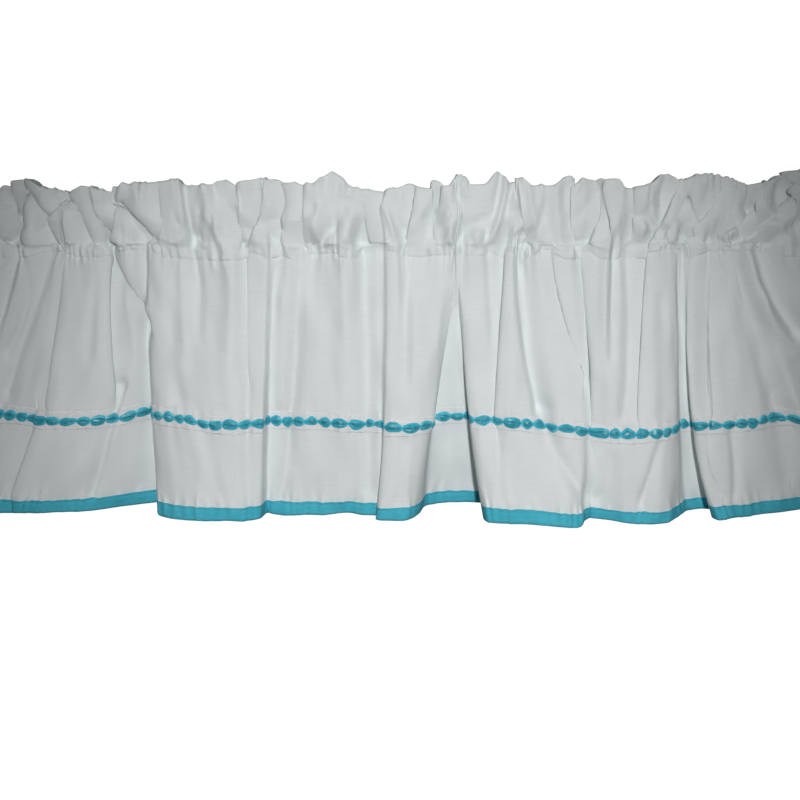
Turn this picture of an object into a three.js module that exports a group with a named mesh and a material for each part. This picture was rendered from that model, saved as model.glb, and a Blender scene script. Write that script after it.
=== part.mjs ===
// A window valance of plain white cloth, gathered on a flat curtain rod.
// The cloth is turned over at its top and stitched down into a rod pocket. Slotted lace with a
// satin ribbon threaded through it is sewn across the skirt, and bias tape binds the hem.
// X runs across the window, Y away from the room and Z up. The origin is at the middle of the
// top of the pocket.
import * as THREE from "three";
import { mergeVertices } from "three/addons/utils/BufferGeometryUtils.js";

// Heights, each measured down from the top of the pocket, in millimetres.
const STITCH_DROP = 70;
const RIBBON_DROP = 232;
const HEM_DROP = 331;

// Cloth, lace, ribbon and tape, in millimetres.
const CLOTH_THICKNESS = 1.2;
const PIECE_GAP = 0.3;
const TAPE_GAP = 0.5;
const LACE_WIDTH = 18;
const LACE_THICKNESS = 1;
const PUFF_PITCH = 16.8;
const PUFF_WIDTH = 9.6;
const PUFF_RISE = 1.8;
const NECK_WIDTH = 2.8;
const RIBBON_THICKNESS = 0.8;
const TAPE_WIDTH = 13;
const TAPE_THICKNESS = 1;
const TAPE_ROUNDING = 1;

// Steps of the meshes.
const COLUMNS_PER_PUFF = 2;
const LACE_ROWS = 2;
const RIBBON_ROWS = 2;
const POCKET_COLUMNS = 124;
const POCKET_STEPS = 10;
const MERGE_TOLERANCE = 1e-3;

// The folds of the skirt, from its left end to its right one. across is where a fold stands at
// the stitch line, the ribbon and the hem, and out is how far it stands towards the room there.
// sag is how far below its level the ribbon hangs on the fold.
const FOLD_COLUMNS = [
  "acrossStitch", "acrossRibbon", "acrossHem", "outStitch", "outRibbon", "outHem", "sag",
];
const SKIRT_FOLDS = [
  [-468, -508, -532, 0, 0, 2, 0], // left end
  [-446, -490, -517, 5, 13, 17, 0],
  [-421, -472, -503, -4, -9, -10, 0],
  [-399, -457, -491, 4, 3, 5, 0],
  [-377, -443, -482, -5, -18, -22, 0],
  [-368, -432, -470, 4, -10, -2, -2],
  [-344, -416, -456, -3, -19, -9, -3],
  [-331, -392, -432, 3, -14, -3, -3],
  [-321, -360, -398, -2, 5, -4, -1], // first broad fold
  [-297, -325, -365, 3, 0, -5, 0],
  [-283, -297, -330, -4, -8, -12, 0],
  [-268, -275, -292, 3, -17, -28, -4],
  [-251, -261, -262, -5, -28, -44, -5], // hollow behind the second fold
  [-245, -253, -250, 2, -6, 2, -6],
  [-233, -236, -237, 4, 4, 12, -4], // second broad fold
  [-212, -212, -211, -3, 9, 20, -2],
  [-191, -186, -187, -2, 13, 22, 2],
  [-165, -163, -165, 4, 14, 22, 3],
  [-152, -153, -155, -3, 11, 20, 2],
  [-138, -143, -145, 3, 8, 15, 2],
  [-117, -134, -138, -5, -6, -5, 1], // hollow before the third fold
  [-107, -118, -116, 4, 0, 6, 1],
  [-77, -81, -85, -3, 1, 2, 1],
  [-54, -53, -57, 4, 0, -4, 3],
  [-37, -34, -36, -4, 1, 2, 4],
  [-18, -19, -18, -3, 1, 4, 4], // tuck under the fourth fold
  [-12, -16, -25, 3, 10, 14, 5],
  [-4, -9, -18, 5, 13, 20, 5],
  [8, 6, 1, -2, 14, 22, 5],
  [29, 20, 11, 4, 9, 14, 4],
  [42, 30, 20, 1, 0, -3, 4],
  [50, 35, 28, -4, -21, -29, 1], // inverted pleat
  [54, 53, 54, -6, -26, -43, 0],
  [57, 73, 91, -4, -23, -37, -1],
  [61, 70, 85, 2, 1, 11, -2],
  [70, 77, 89, 5, 9, 25, -2], // fifth broad fold
  [102, 95, 101, -4, 12, 29, -3],
  [110, 114, 121, 4, 17, 31, -2],
  [118, 139, 150, -4, 15, 37, 2],
  [137, 161, 168, 4, 21, 43, 4],
  [166, 181, 178, 3, 20, 40, 7],
  [177, 190, 186, -3, 15, 22, 8],
  [188, 198, 195, 1, 16, 13, 9],
  [203, 208, 208, 4, 22, 17, 10], // sixth broad fold
  [224, 229, 231, -3, 25, 29, 10],
  [246, 251, 250, 4, 25, 33, 8],
  [261, 268, 269, 3, 19, 26, 7],
  [270, 280, 287, 0, 8, 7, 6],
  [274, 289, 303, -4, -8, -14, 5], // narrow hollow
  [277, 296, 318, -5, -10, -18, 5],
  [281, 303, 330, -3, -8, -13, 5],
  [285, 297, 320, 2, 3, 9, 5],
  [294, 305, 324, 5, 9, 19, 4], // seventh broad fold
  [309, 333, 350, -2, 7, 9, 3],
  [319, 366, 388, 4, 1, -4, 0],
  [327, 396, 436, -5, -9, -20, -2],
  [340, 411, 455, 5, -3, -8, 0],
  [360, 440, 485, -4, -13, -17, 0],
  [383, 459, 503, 5, 3, 5, 0],
  [410, 475, 517, -3, -9, -11, 0],
  [440, 492, 529, 5, 11, 15, 0],
  [468, 508, 540, 0, 0, 2, 0], // right end
];

// The creases of the pocket's front, pressed in by the gathering. Each runs straight from one
// place across and down to another. rise is negative in a trough and positive on a ridge.
const CREASE_COLUMNS = ["acrossTop", "dropTop", "acrossLow", "dropLow", "rise", "halfWidth"];
const POCKET_CREASES = [
  [-452, 4, -456, 66, -7, 7],
  [-428, 2, -420, 66, -7, 6],
  [-407, 6, -396, 64, -5, 7],
  [-383, 6, -366, 66, -8, 7],
  [-367, 2, -343, 34, -5, 6],
  [-332, 7, -340, 60, -7, 6],
  [-322, 8, -295, 67, -8, 7],
  [-305, 10, -282, 63, -7, 6],
  [-276, 15, -234, 69, -8, 8],
  [-213, 0, -211, 70, -8, 7],
  [-160, 2, -159, 62, -5, 6],
  [-135, 17, -151, 70, -5, 6],
  [-116, 3, -117, 70, -8, 7],
  [-94, 2, -100, 62, -5, 6],
  [-51, 2, -88, 67, -7, 10],
  [-37, 35, -30, 67, -7, 7],
  [-14, 7, 0, 69, -5, 6],
  [30, 7, 8, 57, -5, 7],
  [31, 12, 35, 57, -7, 6],
  [66, 2, 49, 40, 4, 8],
  [91, 30, 57, 57, -5, 7],
  [105, 2, 86, 58, 5, 7],
  [117, 2, 130, 55, -7, 7],
  [167, 2, 166, 52, -5, 6],
  [192, 2, 179, 64, -7, 6],
  [203, 2, 205, 34, -5, 6],
  [234, 24, 252, 42, -5, 7],
  [273, 5, 242, 70, 5, 7],
  [277, 5, 291, 42, -7, 6],
  [310, 2, 292, 37, -5, 7],
  [330, 7, 312, 55, -5, 7],
  [355, 2, 346, 44, -5, 6],
  [387, 9, 320, 60, -7, 7],
  [400, 27, 356, 62, -7, 11],
  [428, 4, 420, 66, -7, 7],
  [452, 2, 448, 66, -5, 7],
];

// The gathered top of the pocket: how far it stands above its level at places across.
const TOP_COLUMNS = ["across", "rise"];
const TOP_OUTLINE = [
  [-470, -1], [-450, 3], [-430, -4], [-410, 2], [-387, -3], [-357, 7], [-342, -3], [-315, -6],
  [-303, -1], [-280, -6], [-263, 0], [-242, 1], [-212, 5], [-203, -1], [-182, 0], [-169, 4],
  [-159, 0], [-134, 6], [-116, 3], [-88, 0], [-64, 11], [-53, 5], [-44, -3], [-15, -6],
  [13, 0], [24, -3], [34, 4], [45, -2], [56, 9], [68, 0], [80, 0], [95, 12],
  [106, 2], [116, 6], [125, -1], [148, -1], [160, 8], [169, 0], [176, 5], [209, 5],
  [216, -3], [237, 0], [254, 9], [271, 4], [290, 9], [308, 8], [334, 0], [350, 2],
  [366, 10], [387, 15], [410, 10], [430, 1], [450, 5], [470, 0],
];

// The pocket's section round the rod before it is gathered: out towards the room, and up.
const POCKET_SECTION = [
  [-1, -69.1], [-10, -59], [-13, -36], [-12, -13], [-7, -2.5], [0, -0.6],
  [8, -3], [13, -14], [14, -36], [11, -59], [1, -69.1],
];
const FRONT_LAYER_OUT = 6.5;
const BACK_LAYER_OUT = -9;
const TOP_RISE_REACH = 34;
const STITCH_HOLD_REACH = 16;

// The back of the pocket ripples in two unequal waves.
const BACK_RIPPLES = [
  { rise: 1.6, length: 38, start: 0 },
  { rise: 1.2, length: 23, start: 4 },
];

const folds = namedRows(FOLD_COLUMNS, SKIRT_FOLDS);
const creases = namedRows(CREASE_COLUMNS, POCKET_CREASES);
const topOutline = namedRows(TOP_COLUMNS, TOP_OUTLINE);

function namedRows(names, rows) {
  return rows.map((row) => Object.fromEntries(names.map((name, i) => [name, row[i]])));
}

// The slope of a column at one row: none at a crest or a hollow, so that no value overshoots.
function slopeAt(rows, column, i) {
  if (i === 0 || i === rows.length - 1) {
    return 0;
  }
  const before = rows[i][column] - rows[i - 1][column];
  const after = rows[i + 1][column] - rows[i][column];
  return before * after <= 0 ? 0 : (2 * before * after) / (before + after);
}

// A smooth value of a column at a position counted in rows.
function smoothValue(rows, column, position) {
  const i = Math.min(Math.floor(position), rows.length - 2);
  const t = position - i;
  const from = rows[i][column];
  const to = rows[i + 1][column];
  const leave = slopeAt(rows, column, i);
  const arrive = slopeAt(rows, column, i + 1);
  const blend = t * t * (3 - 2 * t);
  return from + (to - from) * blend + t * (1 - t) * ((1 - t) * leave - t * arrive);
}

// The position, counted in rows, at which a rising column reaches a value.
function positionOf(rows, column, value) {
  const next = rows.findIndex((row) => row[column] > value);
  const i = next < 0 ? rows.length - 2 : Math.max(next - 1, 0);
  const share = (value - rows[i][column]) / (rows[i + 1][column] - rows[i][column]);
  return i + THREE.MathUtils.clamp(share, 0, 1);
}

// The curve through three levels of the skirt: its stitch line, its ribbon and its hem.
function throughLevels(atStitch, atRibbon, atHem, down) {
  const ribbonShare = (RIBBON_DROP - STITCH_DROP) / (HEM_DROP - STITCH_DROP);
  const stitchPull = ((down - ribbonShare) * (down - 1)) / ribbonShare;
  const ribbonPull = (down * (down - 1)) / (ribbonShare * (ribbonShare - 1));
  const hemPull = (down * (down - ribbonShare)) / (1 - ribbonShare);
  return atStitch * stitchPull + atRibbon * ribbonPull + atHem * hemPull;
}

// The middle of the skirt's cloth at a position among its folds and a drop below the top.
function skirtMiddle(position, drop) {
  const down = (drop - STITCH_DROP) / (HEM_DROP - STITCH_DROP);
  const value = (column) => smoothValue(folds, column, position);
  const across = throughLevels(
    value("acrossStitch"), value("acrossRibbon"), value("acrossHem"), down,
  );
  const out = throughLevels(value("outStitch"), value("outRibbon"), value("outHem"), down);
  const sag = throughLevels(0, value("sag"), 0, down);
  return new THREE.Vector3(across, -out, -drop - sag);
}

// Positions among the folds that stand evenly along the cloth at the ribbon.
function evenPositions(spacing) {
  const stepsPerFold = 40;
  const walk = [{ position: 0, length: 0 }];
  let here = skirtMiddle(0, RIBBON_DROP);
  for (let i = 1; i <= (folds.length - 1) * stepsPerFold; i += 1) {
    const next = skirtMiddle(i / stepsPerFold, RIBBON_DROP);
    walk.push({ position: i / stepsPerFold, length: walk[i - 1].length + next.distanceTo(here) });
    here = next;
  }
  const whole = walk[walk.length - 1].length;
  const count = COLUMNS_PER_PUFF * Math.round(whole / spacing / COLUMNS_PER_PUFF);
  const positions = [];
  for (let i = 0; i <= count; i += 1) {
    const step = positionOf(walk, "length", (whole * i) / count);
    positions.push(step / stepsPerFold);
  }
  return positions;
}

const columnPositions = evenPositions(PUFF_PITCH / COLUMNS_PER_PUFF);

// A place on a column of the skirt, moved off the middle of the cloth towards the room. It is
// square to the line between the columns at its two sides, so that layers stay parallel.
function onSkirt(column, drop, off) {
  const last = columnPositions.length - 1;
  const left = skirtMiddle(columnPositions[Math.max(column - 1, 0)], drop);
  const right = skirtMiddle(columnPositions[Math.min(column + 1, last)], drop);
  const above = skirtMiddle(columnPositions[column], drop - 1);
  const below = skirtMiddle(columnPositions[column], drop + 1);
  const normal = right.sub(left).cross(above.sub(below)).normalize();
  return skirtMiddle(columnPositions[column], drop).addScaledVector(normal, off);
}

// Splits the back's squares along the same diagonals as the front's, so that both faces stay
// parallel where a fold twists. A square's points a, b, c, d are indexed as a, b, d and b, c, d.
function alignDiagonals(box) {
  const index = box.index.array;
  const back = box.groups[5];
  for (let i = back.start; i < back.start + back.count; i += 6) {
    const [a, b, d, , c] = index.slice(i, i + 6);
    index.set([a, b, c, a, c, d], i);
  }
}

// A thin box, its points moved to where the cloth carries them. place is given the column, the
// row and the side, from -1 at the back to 1 at the front. A looped sheet meets itself.
function sewnSheet(columns, rows, place, looped) {
  const box = new THREE.BoxGeometry(columns, rows, 2, columns, rows, 1);
  box.deleteAttribute("normal");
  box.deleteAttribute("uv");
  const position = box.attributes.position;
  for (let i = 0; i < position.count; i += 1) {
    const column = Math.round(position.getX(i) + columns / 2);
    const row = Math.round(rows / 2 - position.getY(i));
    const placed = place(column, row, position.getZ(i));
    position.setXYZ(i, placed.x, placed.y, placed.z);
  }
  alignDiagonals(box);
  if (looped) {
    const upperAndLowerEdges = box.groups.slice(2, 4);
    const start = upperAndLowerEdges[0].start;
    const count = upperAndLowerEdges[0].count + upperAndLowerEdges[1].count;
    const index = Array.from(box.index.array);
    index.splice(start, count);
    box.setIndex(index);
  }
  box.clearGroups();
  const sheet = mergeVertices(box, MERGE_TOLERANCE);
  sheet.computeVertexNormals();
  return sheet;
}

// A sheet that hangs on the skirt's folds, with one column at each even position.
function hungSheet(rows, place) {
  const columns = columnPositions.length - 1;
  return sewnSheet(columns, rows, (column, row, side) => {
    const { drop, off } = place(column, row, side);
    return onSkirt(column, drop, off);
  }, false);
}

// The skirt: its rows of points stand at the edges of what is sewn to it.
function skirtGeometry() {
  const top = STITCH_DROP + PIECE_GAP;
  const laceTop = RIBBON_DROP - LACE_WIDTH / 2;
  const laceLow = RIBBON_DROP + LACE_WIDTH / 2;
  const tapeTop = HEM_DROP + TAPE_GAP + TAPE_THICKNESS - TAPE_WIDTH;
  const { lerp } = THREE.MathUtils;
  const drops = [
    top, lerp(top, laceTop, 1 / 3), lerp(top, laceTop, 2 / 3), laceTop,
    RIBBON_DROP, laceLow, lerp(laceLow, tapeTop, 0.5), tapeTop, HEM_DROP,
  ];
  return hungSheet(drops.length - 1, (column, row, side) => ({
    drop: drops[row],
    off: (side * CLOTH_THICKNESS) / 2,
  }));
}

// The lace: a flat strip on the front of the cloth.
function laceGeometry() {
  const back = CLOTH_THICKNESS / 2 + PIECE_GAP;
  return hungSheet(LACE_ROWS, (column, row, side) => ({
    drop: RIBBON_DROP + (row / LACE_ROWS - 0.5) * LACE_WIDTH,
    off: side > 0 ? back + LACE_THICKNESS : back,
  }));
}

// The ribbon: narrow under each bar of the lace, wide and puffed out between two bars.
function ribbonGeometry() {
  const back = CLOTH_THICKNESS / 2 + LACE_THICKNESS + 2 * PIECE_GAP;
  return hungSheet(RIBBON_ROWS, (column, row, side) => {
    const puffed = column % COLUMNS_PER_PUFF !== 0;
    const width = puffed ? PUFF_WIDTH : NECK_WIDTH;
    const middleRow = row * 2 === RIBBON_ROWS;
    const rise = puffed && middleRow ? PUFF_RISE : 0;
    return {
      drop: RIBBON_DROP + (row / RIBBON_ROWS - 0.5) * width,
      off: side > 0 ? back + RIBBON_THICKNESS + rise : back,
    };
  });
}

// The tape: a flat strip folded round the hem, up its back, over its edge and down its front.
function tapeGeometry() {
  const inside = CLOTH_THICKNESS / 2 + TAPE_GAP;
  const outside = inside + TAPE_THICKNESS;
  const insideEdge = HEM_DROP + TAPE_GAP;
  const outsideEdge = insideEdge + TAPE_THICKNESS;
  const top = outsideEdge - TAPE_WIDTH;
  const outer = [
    { off: outside, drop: top },
    { off: outside, drop: outsideEdge - TAPE_ROUNDING },
    { off: 0, drop: outsideEdge },
    { off: -outside, drop: outsideEdge - TAPE_ROUNDING },
    { off: -outside, drop: top },
  ];
  const inner = [
    { off: inside, drop: top },
    { off: inside, drop: insideEdge },
    { off: 0, drop: insideEdge },
    { off: -inside, drop: insideEdge },
    { off: -inside, drop: top },
  ];
  return hungSheet(outer.length - 1, (column, row, side) => (side > 0 ? outer[row] : inner[row]));
}

// How far the creases of the pocket's front push a place out or in.
function creaseRise(across, drop) {
  let rise = 0;
  for (const crease of creases) {
    const share = (drop - crease.dropTop) / (crease.dropLow - crease.dropTop);
    const along = THREE.MathUtils.clamp(share, 0, 1);
    const middle = THREE.MathUtils.lerp(crease.acrossTop, crease.acrossLow, along);
    const beyond = (share - along) * (crease.dropLow - crease.dropTop);
    const away = Math.hypot(across - middle, beyond) / crease.halfWidth;
    rise += crease.rise * Math.exp(-away * away);
  }
  return rise;
}

// How far the stitch line stands out at a place across, the same as the top of the skirt.
function stitchOut(across) {
  const reach = folds[folds.length - 1].acrossStitch;
  const held = THREE.MathUtils.clamp(across, -reach, reach);
  return smoothValue(folds, "outStitch", positionOf(folds, "acrossStitch", held));
}

// The middle of the pocket's cloth, moved as the gathering moves it at a place across. The
// stitch line follows the skirt, the front takes the creases, the back is rippled and the top
// rises.
function gatheredMiddle(across, out, up) {
  const drop = -up;
  const { smoothstep } = THREE.MathUtils;
  const nearStitch = smoothstep(drop, STITCH_DROP - STITCH_HOLD_REACH, STITCH_DROP);
  const nearTop = 1 - smoothstep(drop, 0, TOP_RISE_REACH);
  const frontShare = smoothstep(out, 0, FRONT_LAYER_OUT);
  const backShare = 1 - smoothstep(out, BACK_LAYER_OUT, 0);
  let ripple = 0;
  for (const { rise, length, start } of BACK_RIPPLES) {
    ripple += rise * Math.sin((2 * Math.PI * (across + start)) / length);
  }
  const creased = Math.max(out + creaseRise(across, drop), Math.min(out, FRONT_LAYER_OUT));
  const free = out + (creased - out) * frontShare + ripple * backShare;
  const held = out + stitchOut(across);
  const rise = smoothValue(topOutline, "rise", positionOf(topOutline, "across", across));
  return new THREE.Vector3(
    across,
    -THREE.MathUtils.lerp(free, held, nearStitch),
    up + rise * nearTop,
  );
}

// The rod pocket: one sheet looped round the space for the rod.
function headingGeometry() {
  const points = POCKET_SECTION.map(([out, up]) => new THREE.Vector3(out, up, 0));
  const loop = new THREE.CatmullRomCurve3(points, true, "centripetal");
  const reach = folds[folds.length - 1].acrossStitch;
  return sewnSheet(POCKET_COLUMNS, POCKET_STEPS, (column, row, side) => {
    const across = reach * ((2 * column) / POCKET_COLUMNS - 1);
    const share = (row % POCKET_STEPS) / POCKET_STEPS;
    const middle = loop.getPointAt(share);
    const along = loop.getTangentAt(share);
    const off = new THREE.Vector3(0, along.y, along.x).multiplyScalar((side * CLOTH_THICKNESS) / 2);
    return gatheredMiddle(across, middle.x, middle.y).add(off);
  }, true);
}

function clothMaterial() {
  return new THREE.MeshStandardMaterial({ color: 0xdfe3e2, roughness: 0.9, metalness: 0 });
}

function laceMaterial() {
  return new THREE.MeshStandardMaterial({ color: 0xf0eef0, roughness: 0.85, metalness: 0 });
}

function satinMaterial() {
  return new THREE.MeshStandardMaterial({ color: 0x1f9db0, roughness: 0.35, metalness: 0 });
}

function tapeMaterial() {
  return new THREE.MeshStandardMaterial({ color: 0x35a5bb, roughness: 0.75, metalness: 0 });
}

function namedPiece(name, geometry, material) {
  const piece = new THREE.Mesh(geometry, material);
  piece.name = name;
  return piece;
}

const valance = new THREE.Group();
valance.add(namedPiece("heading", headingGeometry(), clothMaterial()));
valance.add(namedPiece("skirt", skirtGeometry(), clothMaterial()));
valance.add(namedPiece("beading_lace", laceGeometry(), laceMaterial()));
valance.add(namedPiece("ribbon", ribbonGeometry(), satinMaterial()));
valance.add(namedPiece("hem_binding", tapeGeometry(), tapeMaterial()));

export default valance;
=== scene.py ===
"""A gathered window valance: white cotton with a rod pocket, beading lace threaded with a
turquoise satin ribbon, and a hem bound in turquoise tape. Lengths are in millimetres on the
cloth and are turned into metres where a mesh is made."""
import math

import bpy
import numpy as np
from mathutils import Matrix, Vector


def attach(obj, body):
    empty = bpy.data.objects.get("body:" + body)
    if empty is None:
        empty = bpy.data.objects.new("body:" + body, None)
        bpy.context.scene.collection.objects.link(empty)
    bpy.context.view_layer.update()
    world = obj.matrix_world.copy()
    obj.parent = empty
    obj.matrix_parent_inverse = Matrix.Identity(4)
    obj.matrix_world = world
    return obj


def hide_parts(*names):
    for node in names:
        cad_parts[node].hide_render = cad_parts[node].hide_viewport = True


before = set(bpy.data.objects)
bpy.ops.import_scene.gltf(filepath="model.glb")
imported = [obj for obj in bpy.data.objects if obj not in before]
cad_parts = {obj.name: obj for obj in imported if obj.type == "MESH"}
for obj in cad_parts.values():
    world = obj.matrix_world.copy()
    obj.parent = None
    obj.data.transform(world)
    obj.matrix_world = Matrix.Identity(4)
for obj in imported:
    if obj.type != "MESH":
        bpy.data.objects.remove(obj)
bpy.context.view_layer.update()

# ---- Skirt ----------------------------------------------------------------------------
# The hanging part of one length of white plain-weave cotton, 1.37 m wide before it is gathered
# to 0.94 m at the stitch line. It falls in uneven soft folds and in sharper creases and laps.
MM = 0.001
STITCH_DROP = 70
RIBBON_DROP = 232
HEM_DROP = 331
SKIRT_COLUMNS = 1040
SKIRT_ROWS = 94
WALK_STEPS = 4000

# The middle of each fold's crest or hollow: where it stands across and out towards the room at
# the stitch line, the ribbon and the hem, and how far the ribbon dips there.
FOLD_COLUMNS = (
    "acrossStitch", "acrossRibbon", "acrossHem", "outStitch", "outRibbon", "outHem", "sag",
)
SKIRT_FOLDS = (
    (-468, -508, -532, 0, 0, 2, 0), (-446, -490, -517, 5, 13, 17, 0),
    (-421, -472, -503, -4, -9, -10, 0), (-399, -457, -491, 4, 3, 5, 0),
    (-377, -443, -482, -5, -14, -18, 0), (-368, -432, -470, 4, -9, -2, -2),
    (-344, -416, -456, -3, -12, -7, -4), (-331, -392, -432, 3, -8, -3, -4),
    (-321, -360, -398, -2, 1, -4, 0), (-297, -325, -365, 3, 0, -5, 0),
    (-283, -297, -330, -4, -8, -12, 0), (-268, -275, -292, 3, -17, -28, -4),
    (-251, -261, -262, -5, -28, -44, -5), (-245, -253, -250, 2, -6, 2, -6),
    (-233, -236, -237, 4, 4, 12, -4), (-212, -212, -211, -3, 9, 20, -2),
    (-191, -186, -187, -2, 13, 22, 2), (-165, -163, -165, 4, 14, 22, 3),
    (-152, -153, -155, -3, 11, 20, 2), (-132, -139, -143, 4, 9, 15, 2),
    (-122, -134, -138, -4, -6, -5, 1), (-104, -116, -116, 0, -4, 3, 1),
    (-77, -81, -85, -3, 1, 2, 1), (-54, -53, -57, 4, 0, -4, 3),
    (-37, -34, -36, -4, 1, 2, 4), (-18, -19, -18, -3, 1, 4, 4),
    (-12, -16, -25, 3, 10, 14, 5), (-4, -9, -18, 5, 13, 20, 5),
    (8, 6, 1, -2, 14, 22, 5), (29, 20, 11, 4, 9, 14, 4),
    (42, 30, 20, 1, 0, -3, 4), (53, 35, 28, 5, -21, -29, 1),
    (54, 53, 54, 5, -26, -43, 0), (55, 73, 91, 4, -23, -37, -1),
    (61, 70, 85, 2, 1, 11, -2), (70, 77, 89, 5, 9, 25, -2),
    (102, 95, 101, -4, 12, 29, -3), (110, 114, 121, 4, 17, 31, -2),
    (118, 139, 150, -4, 15, 37, 2), (137, 161, 168, 4, 21, 43, 4),
    (166, 181, 178, 3, 20, 40, 7), (177, 190, 186, -3, 15, 22, 8),
    (188, 198, 195, 1, 16, 13, 9), (203, 208, 208, 4, 22, 17, 10),
    (224, 229, 231, -3, 25, 29, 10), (246, 251, 250, 4, 25, 33, 8),
    (261, 268, 269, 3, 19, 26, 7), (270, 280, 287, 0, 8, 7, 6),
    (274, 289, 303, -4, -8, -14, 5), (277, 296, 318, -5, -10, -18, 5),
    (281, 303, 330, -3, -8, -13, 5), (285, 297, 320, 2, 3, 9, 5),
    (294, 305, 324, 5, 9, 19, 4), (309, 333, 350, -2, 7, 9, 3),
    (319, 366, 388, 4, 1, -4, 0), (327, 396, 436, -5, -9, -20, -2),
    (340, 411, 455, 5, -3, -8, 0), (360, 440, 485, -4, -13, -17, 0),
    (383, 459, 503, 5, 3, 5, 0), (410, 475, 517, -3, -9, -11, 0),
    (440, 492, 529, 5, 11, 15, 0), (468, 508, 540, 0, 0, 2, 0),
)

# Creases in the hanging cloth: three places along each, how far it stands out (or in) at its
# upper and lower end, and how wide it is on its left and on its right. A step over LAP_LEAST
# makes it a lap: its right side lies over its left, or its left over its right if negative.
CREASE_COLUMNS = (
    "acrossTop", "dropTop", "acrossMid", "dropMid", "acrossLow", "dropLow",
    "riseTop", "riseLow", "left", "right", "step",
)
SKIRT_CREASES = (
    # left end
    (-369, 73, -372, 104, -399, 165, -3.6, -3.4, 2.4, 4.5, 0.5),
    (-344, 73, -370, 131, -403, 207, -1.6, -3, 3, 5, 0.4),
    (-330, 71, -345, 144, -360, 214, -1.5, -1.5, 2, 5, 1.6),
    (-372, 235, -387, 271, -405, 313, -3, -2, 6, 3, 0.8),
    (-294, 73, -304, 115, -312, 164, -3.5, -2, 5, 7, 0),
    (-286, 73, -290, 134, -291, 197, -1, -1.5, 1.8, 5, -2.4),
    (-284, 201, -298, 240, -323, 311, -5.5, -4, 6, 4, 0.4),
    (-282, 75, -268, 102, -250, 136, -2, -2, 1.6, 3, 2.6),
    # first front fold
    (-228, 79, -229, 144, -224, 209, -2, -3.5, 8, 8, 0),
    (-215, 73, -216, 115, -214, 159, 3, 2, 5, 5, 0),
    (-202, 73, -200, 102, -201, 144, -7, -2, 6, 6, 0),
    (-163, 73, -167, 139, -172, 209, 3.5, 2, 9, 7, 0),
    (-150, 62, -152, 110, -153, 174, -1.5, -1, 1.6, 4, 1.6),
    (-153, 174, -155, 240, -154, 318, -3, -3.5, 5, 6, 0.3),
    (-196, 240, -189, 271, -182, 303, -2, -2, 8, 8, 0),
    # second
    (-117, 110, -118, 149, -122, 209, 3.5, 3, 6, 7, 0),
    (-100, 73, -109, 199, -122, 313, -5, -5, 5, 8, 0),
    (-85, 69, -87, 86, -88, 106, -7, -2, 8, 8, 0),
    (-53, 73, -56, 189, -60, 313, 3.5, 3, 10, 8, 0),
    (-35, 73, -33, 189, -32, 303, -5.5, -5, 7, 8, 0),
    (-83, 240, -85, 276, -90, 313, -2, -2, 8, 7, 0),
    # third
    (5, 73, 6, 139, 9, 214, -3, -2, 5, 6, 0.3),
    (26, 71, 27, 105, 31, 144, -7, -2, 9, 9, 0),
    (14, 110, 12, 159, 8, 209, 2, 2, 7, 7, 0),
    (4, 250, 2, 282, -2, 313, -3, -3, 6, 7, 0),
    (52, 122, 44, 168, 35, 226, -2, -2, 4, 3, -1.4),
    # fourth
    (85, 68, 88, 100, 92, 144, -4, -2, 3, 6, 0.6),
    (104, 64, 100, 134, 95, 225, -2, -1.5, 1.6, 6, 2),
    (99, 238, 99, 271, 101, 308, -3.5, -2, 4, 5, 0),
    (116, 79, 125, 154, 138, 214, -5.5, -7, 4, 11, 0.6),
    (140, 214, 158, 261, 187, 305, -7, -5.5, 8, 9, 0),
    (146, 62, 161, 120, 181, 177, -3.5, -2.5, 2.5, 8, 1),
    (178, 73, 187, 149, 193, 230, -1, -2, 1.5, 3.5, 1.6),
    (193, 240, 195, 276, 192, 313, -2, -1.5, 2, 4, 0.8),
    (121, 240, 114, 271, 112, 303, -2, -2, 7, 7, 0),
    # fifth
    (200, 73, 199, 115, 195, 169, 4, 3, 5, 5, 0),
    (210, 71, 208, 110, 208, 154, -5.5, -3, 4, 5, 0),
    (224, 73, 226, 139, 222, 214, -3.5, -3.5, 6, 5, 0),
    (242, 64, 238, 129, 235, 211, -2.5, -2, 7, 1.8, 0.8),
    (256, 250, 248, 282, 241, 308, -3.5, -5, 5, 6, 0),
    (213, 261, 211, 284, 204, 305, -3, -3.5, 6, 6, 0),
    (256, 110, 259, 159, 260, 209, -2, -2, 7, 7, 0),
    # right end
    (297, 69, 302, 139, 308, 211, -1.5, -1, 1.5, 2.2, 1.4),
    (305, 69, 308, 139, 315, 211, -2, -1.6, 2, 5, 0.8),
    (313, 238, 312, 266, 326, 305, -2.4, -2.4, 3, 5, 0.8),
    (336, 240, 341, 271, 342, 305, -5, -3.5, 5, 6, 0.4),
    (320, 66, 347, 131, 384, 211, -3, -3, 2.5, 8, 2.4),
    (385, 214, 394, 250, 407, 292, -3, -2.5, 2.5, 7, 1.6),
    (349, 62, 366, 100, 400, 139, -7, -7, 6, 9, 0),
    (360, 110, 376, 139, 402, 161, 5.5, 5.5, 6, 7, 0),
)
CREASE_TAPER = 9
LAP_LEAST = 0.7
LAP_TAPER = 15
LAP_EDGE = 1.2
LAP_TURN = 4.2
LAP_OVER = 4.3
LAP_PEAK = 2.33
LAP_HEIGHT = 2.5
LAP_STEEP = 1.6
LAP_SPREAD = 2.4
LAP_SPREAD_LEAST = 11
ROLL_HEIGHT = 1.44
ROLL_STEEP = 1.2
ROLL_START = 2.4
ROLL_WIDTH = 3.6
ROLL_WIDTH_SHARE = 3

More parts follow.
